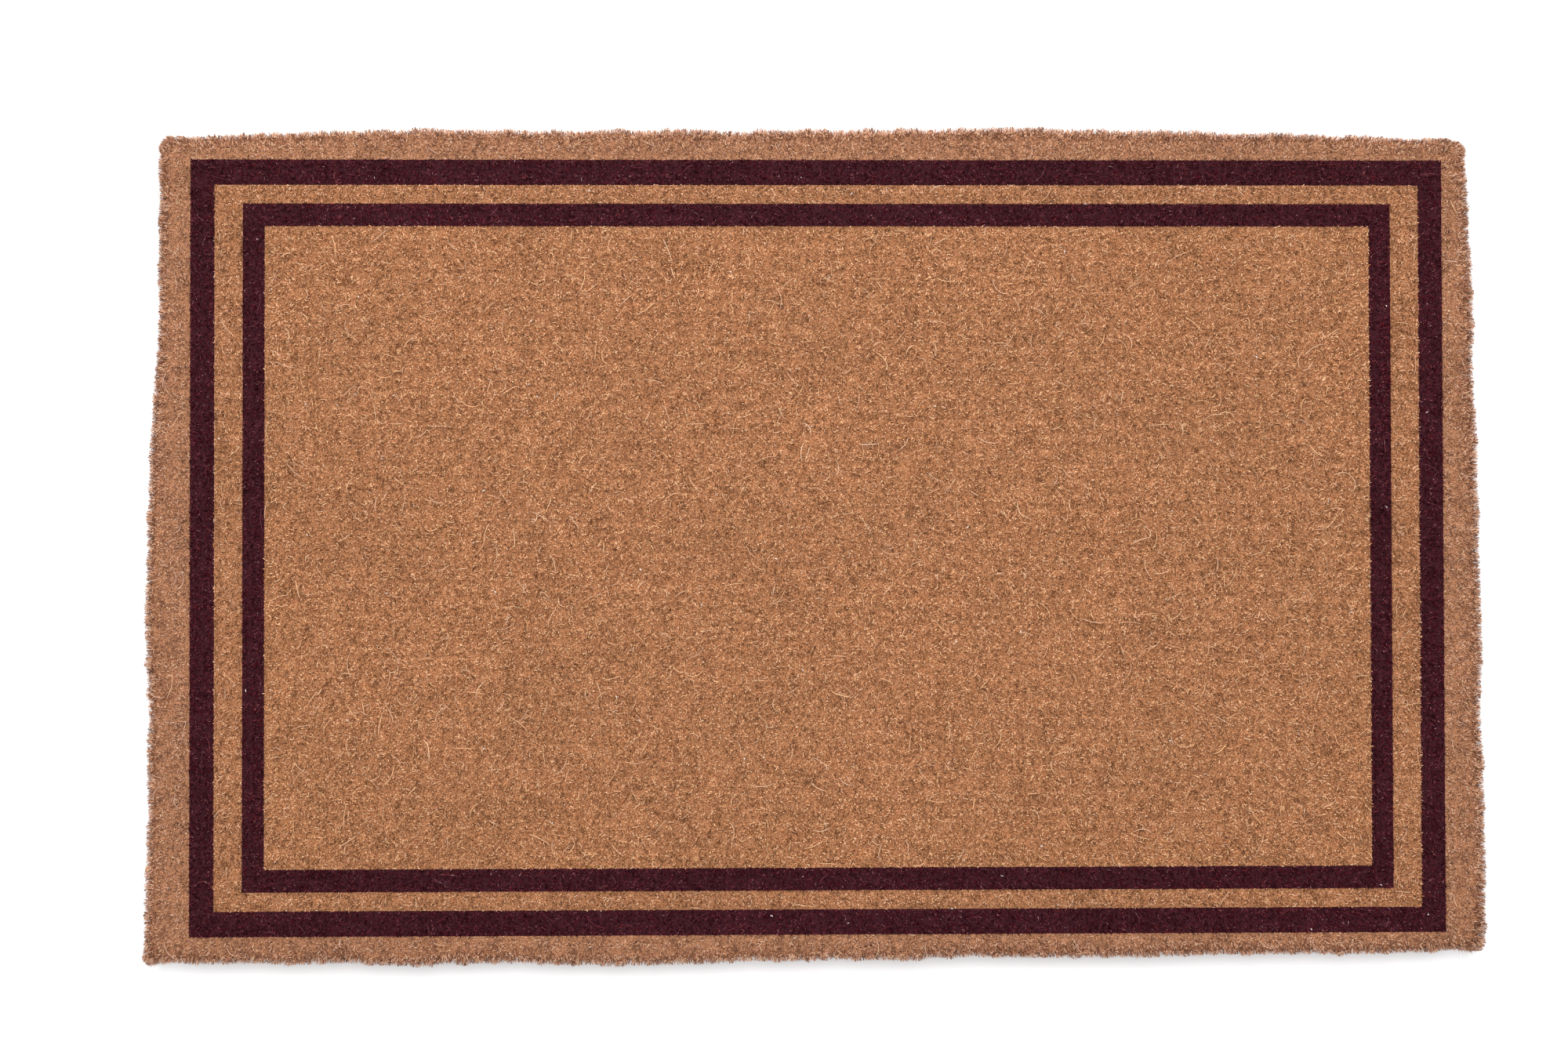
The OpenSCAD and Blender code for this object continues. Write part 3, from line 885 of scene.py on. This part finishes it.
def build_pile():
    """One piece or more for each zone: bed, top fibres, wall fibres at the mat's edge, strays and flakes"""
    materials = pile_materials()
    roots, tips = top_fibres()
    walls = wall_fibres()
    strays = stray_fibres()
    scraps = flakes()
    field_bed = bed_mesh(*zone_rectangle("field_pile"))
    make_piece("field_pile_bed", [(field_bed, 0)], "field_pile", [materials["field"][0]])
    for node in PILE_NODES:
        kind = zone_kind(node)
        low, high = zone_rectangle(node)
        ends = zone_fibres(node, low, high, roots, tips, seeded(node + " ends"))
        edge = walls[within(walls[:, -1, :2], low, high)]
        loose = strays[within(strays[..., :2], low, high)]
        pale = scraps[within(scraps[..., :2], low, high)]
        shares = FIELD_SHARES if node == "field_pile" else 1
        for i in range(shares):
            name = node + "_tufts" + (f"_{i + 1}" if shares > 1 else "")
            rng = seeded(name)
            parts = [(top_mesh(ends[i::shares], kind, rng), 1)]
            if shares == 1:
                parts.append((bed_mesh(low, high), 0))
            if kind == "margin":
                parts.append((wall_mesh(edge, rng), 1))
            parts.append((stray_mesh(loose[i::shares], rng), 1))
            parts.append((flake_mesh(pale[i::shares], rng), 1))
            make_piece(name, parts, node, materials[kind])


def top_mesh(ends, kind, rng):
    """Fibres of the sheared surface; those that fan out at the edge get little of the painted root shade"""
    tones = fibre_tones(ends[:, 1], kind, rng)
    widths = rng.uniform(*FIBRE_WIDTH, len(ends))
    # painted shade at the roots is mostly lifted near the edge, where these fibres' sides show
    root_shade_lift = 0.9 * np.clip(1 - inside(ends[:, 1, :2]) / EDGE_BAND, 0, 1)
    return blade_mesh(ends[:, 0], ends[:, 1], widths, tones, root_shade_lift, rng)


def wall_mesh(paths, rng):
    """Long fibres of the mat's edge"""
    # painted light: the wall fibres' tones are raised a little against the shade round the mat's edge
    tones = fibre_tones(paths[:, -1], "margin", rng) + WALL_PAINTED_LIGHT
    return bent_fibre_mesh(paths, rng.uniform(*WALL_FIBRE_WIDTH, len(paths)), tones, rng)


def stray_mesh(paths, rng):
    """Loose pale fibres, thinner towards one end"""
    count, points = paths.shape[:2]
    radii = rng.uniform(*STRAY_WIDTH, count)[:, None] / 2 * np.linspace(1, STRAY_TAPER, points)
    return fibre_mesh(paths, radii, rng.uniform(0.85, 0.99, count), rng)


def flake_mesh(paths, rng):
    """Scraps of husk"""
    widths = rng.uniform(*FLAKE_WIDTH, len(paths))
    return bent_fibre_mesh(paths, widths, np.full(len(paths), FLAKE_TONE), rng)


# ---------------- woven ground


WANDER = 0.0003  # how far a straight yarn strays sideways
CORD_END = 0.006  # length of a cord's rounded end
CORD_LAY = 3.3  # length of a turn of the strands; this and the next two are against the cord's thickness
STRAND_AWAY = 0.245  # a strand's distance from the cord's middle
STRAND_RADIUS = 0.255
PLAIT_END = 0.012
PLAIT_STRAND = (0.19, 0.235)  # half a strand's width and height, against the plait's
PLAIT_PERIOD = 2.3  # against the plait's width


def spaced(count, pitch):
    """Places of a number of things at an even pitch about 0"""
    return (np.arange(count) - (count - 1) / 2) * pitch


def build_chain_warps():
    """Pairs of chain yarns that cross between picks, one over and one under each pick"""
    amplitude = (middle("chain_warps_upper")[2] - middle("chain_warps_lower")[2]) / 2
    reach_x = BOX["chain_warps_upper"][1][0]
    first_pick = spaced(PICKS, ROW_PITCH)[0]
    xs = np.arange(-reach_x, reach_x + ROW_PITCH / 8, ROW_PITCH / 4)
    xs = np.append(xs[xs < reach_x - 1e-4], reach_x)
    material = yarn_material("chain_yarn", *YARN_COLOURS["chain"], "X")
    for node, sign in (("chain_warps_upper", 1), ("chain_warps_lower", -1)):
        rng = seeded(node)
        parts = []
        for y in spaced(CHAIN_PAIRS, WARP_PITCH):
            z = WEFT_Z + sign * amplitude * np.cos(math.pi * (xs - first_pick) / ROW_PITCH)
            side = sign * CHAIN_D * 0.52
            path = np.column_stack([xs, np.full(len(xs), y + side), z])
            radius = CHAIN_D / 2 * rng.uniform(0.93, 1.0, len(xs))
            parts.append((yarn_mesh(path, radius, radius, 5), 0))
        make_piece(node + "_yarns", parts, node, [material])


def build_stuffer_warps():
    """Thick straight yarns between the chain pairs"""
    node = "stuffer_warps"
    rng = seeded(node)
    low, high = BOX[node]
    xs = np.linspace(low[0], high[0], 60)
    material = yarn_material("stuffer_yarn", *YARN_COLOURS["stuffer"], "X", 200.0)
    parts = []
    for y in spaced(CHAIN_PAIRS - 1, WARP_PITCH):
        wander = WANDER * value_noise(xs + y, 0.03, node)
        path = np.column_stack([xs, y + wander, np.full(len(xs), middle(node)[2])])
        radius = STUFFER_D / 2 * rng.uniform(0.92, 1.0, len(xs))
        parts.append((yarn_mesh(path, radius, radius, 6), 0))
    make_piece(node + "_yarns", parts, node, [material])


def build_weft():
    """One yarn that goes to and fro through the whole mat"""
    node = "weft_yarn"
    straight = BOX[node][1][1] - ROW_PITCH / 2 - WEFT_D / 2
    ys = np.linspace(-straight, straight, 14)
    bend = np.linspace(0, math.pi, 8)[1:-1]
    points = []
    for i, x in enumerate(spaced(PICKS, ROW_PITCH)):
        way = 1 if i % 2 == 0 else -1
        wander = WANDER * value_noise(ys + 3 * x, 0.04, node)
        points.append(np.column_stack([x + wander, way * ys]))
        if i < PICKS - 1:
            turn_x = x + ROW_PITCH / 2 - ROW_PITCH / 2 * np.cos(bend)
            turn_y = way * (straight + ROW_PITCH / 2 * np.sin(bend))
            points.append(np.column_stack([turn_x, turn_y]))
    plan = np.concatenate(points)
    path = np.column_stack([plan, np.full(len(plan), WEFT_Z)])
    radius = WEFT_D / 2 * seeded(node).uniform(0.93, 1.0, len(path))
    material = yarn_material("weft_yarn", *YARN_COLOURS["weft"], "Y")
    make_piece(node + "_run", [(yarn_mesh(path, radius, radius, 7), 0)], node, [material])
    return material


def build_headings(material):
    """Plain picks between the last row of tufts and the plait"""
    for node in ("heading_picks_left", "heading_picks_right"):
        low, high = BOX[node]
        thick = high[2] - low[2]
        ys = np.linspace(low[1], high[1], 40)
        rng = seeded(node)
        parts = []
        for x in np.linspace(low[0] + thick / 2, high[0] - thick / 2, HEADING_PICKS):
            path = np.column_stack([np.full(len(ys), x), ys, np.full(len(ys), middle(node)[2])])
            radius = thick / 2 * rng.uniform(0.94, 1.0, len(ys))
            parts.append((yarn_mesh(path, radius, radius, 7), 0))
        make_piece(node + "_yarns", parts, node, [material])


def build_selvedge_cords(material):
    """Three-strand cords that the weft turns back at"""
    for node in ("selvedge_cord_front", "selvedge_cord_back"):
        low, high = BOX[node]
        centre, thick = middle(node), high[2] - low[2]
        lay = CORD_LAY * thick
        xs = np.linspace(low[0], high[0], int((high[0] - low[0]) / lay * 11))
        xs = np.concatenate([xs[:1], xs[0] + CORD_END * np.array([0.15, 0.4, 0.7]), xs])
        xs = np.unique(np.concatenate([xs, -xs]).round(6))
        ease = np.clip(np.minimum(xs - low[0], high[0] - xs) / CORD_END, 0, 1)
        ease = 0.30 + 0.70 * np.sqrt(1 - (1 - ease) ** 2)
        rng = seeded(node)
        parts = []
        for k in range(3):
            turn = 2 * math.pi * (xs / lay + k / 3)
            away = thick * STRAND_AWAY * ease
            path = np.column_stack([xs, centre[1] + away * np.cos(turn), centre[2] + away * np.sin(turn)])
            radius = thick * STRAND_RADIUS * ease * rng.uniform(0.95, 1.0, len(xs))
            parts.append((yarn_mesh(path, radius, radius, 8), 0))
            parts.append((loose_hairs(path, thick * STRAND_RADIUS, HAIRS_PER_STRAND, rng), 0))
        make_piece(node + "_rope", parts, node, [material])


def build_end_plaits(material):
    """Flat three-strand plaits of the warps' own ends"""
    for node in ("end_plait_left", "end_plait_right"):
        low, high = BOX[node]
        centre, (wide, long, thick) = middle(node), high - low
        strand_across, strand_up = wide * PLAIT_STRAND[0], thick * PLAIT_STRAND[1]
        period = PLAIT_PERIOD * wide
        ys = np.linspace(low[1] + 0.0005, high[1] - 0.0005, int(long / period * 16))
        ease = np.clip(np.minimum(ys - low[1], high[1] - ys) / PLAIT_END, 0.35, 1)
        rng = seeded(node)
        parts = []
        for k in range(3):
            turn = 2 * math.pi * (ys / period + k / 3)
            x = centre[0] + (wide / 2 - strand_across) * np.sin(turn) * ease
            z = centre[2] + (thick / 2 - strand_up) * np.sin(2 * turn) * ease
            path = np.column_stack([x, ys, z])
            parts.append((yarn_mesh(path, strand_across * ease**0.5, strand_up * ease**0.5, 9), 0))
            parts.append((loose_hairs(path, strand_up, HAIRS_PER_STRAND * 2 // 3, rng), 0))
        make_piece(node + "_strands", parts, node, [material])


TWINE_D = 0.0015
STITCH_START = math.radians(-44)
STITCH_END = math.radians(121)
STITCH_SLANT = 0.0045


def stitch_section(core, radius):
    """Path of a stitch across an edge, as (across, up) from the middle of the edge, outside first"""
    outer = np.linspace(STITCH_START, math.pi / 2, 10)
    inner = np.linspace(math.pi / 2, STITCH_END, 4)
    inner = inner[1 if core == 0 else 0 :]
    across = np.append(core / 2 + radius * np.cos(outer), -core / 2 + radius * np.cos(inner))
    return across, radius * np.sin(np.append(outer, inner))


def build_stitches():
    """Overcast stitches that bind the cords and plaits to the ground, each a slanting bar of twine"""
    material = yarn_material("sewing_twine", *YARN_COLOURS["twine"], "X", 420.0)
    rows = (
        ("front", "selvedge_cord_front", 1, -1, SIDE_STITCHES),
        ("back", "selvedge_cord_back", 1, 1, SIDE_STITCHES),
        ("left", "end_plait_left", 0, -1, END_STITCHES),
        ("right", "end_plait_right", 0, 1, END_STITCHES),
    )
    for side, edge_node, axis, way, count in rows:
        node = "edge_stitches_" + side
        low, high = BOX[node]
        centre = middle(edge_node)
        core = size(edge_node)[axis] - EDGE_HEIGHT if axis == 0 else 0.0
        radius = high[2] - TWINE_D / 2 - centre[2]
        across, up = stitch_section(core, radius)
        length = high[1 - axis] - low[1 - axis] - TWINE_D
        rng = seeded(node)
        parts = []
        for place in np.linspace(-length / 2, length / 2, count):
            slant = STITCH_SLANT * rng.uniform(0.8, 1.2) * np.linspace(-0.5, 0.5, len(across))
            path = np.zeros((len(across), 3))
            path[:, axis] = centre[axis] + way * across
            path[:, 1 - axis] = place + slant + rng.uniform(-0.0006, 0.0006)
            path[:, 2] = centre[2] + up
            parts.append((yarn_mesh(path, TWINE_D / 2, TWINE_D / 2, 6, np.eye(3)[1 - axis]), 0))
        make_piece(node + "_twine", parts, node, [material])


def build_ground():
    """Warps, weft, headings, cords, plaits and stitches"""
    build_chain_warps()
    build_stuffer_warps()
    build_headings(build_weft())
    rope = yarn_material("edge_rope", *YARN_COLOURS["edge"], "X", 180.0)
    plait = yarn_material("edge_plait", *YARN_COLOURS["edge"], "Y", 180.0)
    build_selvedge_cords(rope)
    build_end_plaits(plait)
    build_stitches()


# ---------------- stage

FLOOR_SIZE = 14.0
FLOOR_WHITES = ((0.92, 0.92, 0.92), (0.94, 0.94, 0.94))
CAMERA_PLACE = (-0.0666, -0.0275, 2.1298)
CAMERA_TILT = (1.176, -1.222, -0.118)
CAMERA_LENS = 70.0
KEY_PLACE = (-0.15, 0.9, 2.8)
KEY_SIZE = 1.8
KEY_POWER = 81.0
SKY_COLOUR = (0.965, 0.98, 1.0)
SKY_STRENGTH = 1.05


def build_floor():
    """Plain white paper"""
    half = FLOOR_SIZE / 2
    corners = [(-half, -half, 0), (half, -half, 0), (half, half, 0), (-half, half, 0)]
    mesh = bpy.data.meshes.new("floor")
    mesh.from_pydata(corners, [], [(0, 1, 2, 3)])
    floor = bpy.data.objects.new("floor", mesh)
    bpy.context.scene.collection.objects.link(floor)
    m = Shader("floor_paper", roughness=0.9, specular=0.1)
    mesh.materials.append(m.finish(m.ramp(m.noise(3.0), list(zip((0.3, 0.7), FLOOR_WHITES)))))


def build_lights():
    """A soft key light over the back of the mat, aimed at its middle, and an even sky"""
    world = bpy.data.worlds.new("studio")
    world.use_nodes = True
    background = world.node_tree.nodes["Background"]
    background.inputs["Color"].default_value = (*SKY_COLOUR, 1)
    background.inputs["Strength"].default_value = SKY_STRENGTH
    bpy.context.scene.world = world
    light = bpy.data.lights.new("key", "AREA")
    light.size = KEY_SIZE
    light.energy = KEY_POWER
    lamp = bpy.data.objects.new("key", light)
    lamp.location = KEY_PLACE
    lamp.rotation_mode = "QUATERNION"
    lamp.rotation_quaternion = (-Vector(KEY_PLACE)).to_track_quat("-Z", "Y")
    bpy.context.scene.collection.objects.link(lamp)


def build_camera():
    """The photo's view, from almost straight above"""
    camera = bpy.data.cameras.new("camera")
    camera.lens = CAMERA_LENS
    camera.sensor_width = 36.0
    holder = bpy.data.objects.new("camera", camera)
    holder.location = CAMERA_PLACE
    holder.rotation_euler = [math.radians(a) for a in CAMERA_TILT]
    bpy.context.scene.collection.objects.link(holder)
    bpy.context.scene.camera = holder
    bpy.context.scene.view_settings.view_transform = "Standard"


build_pile()
build_ground()
build_floor()
build_lights()
build_camera()
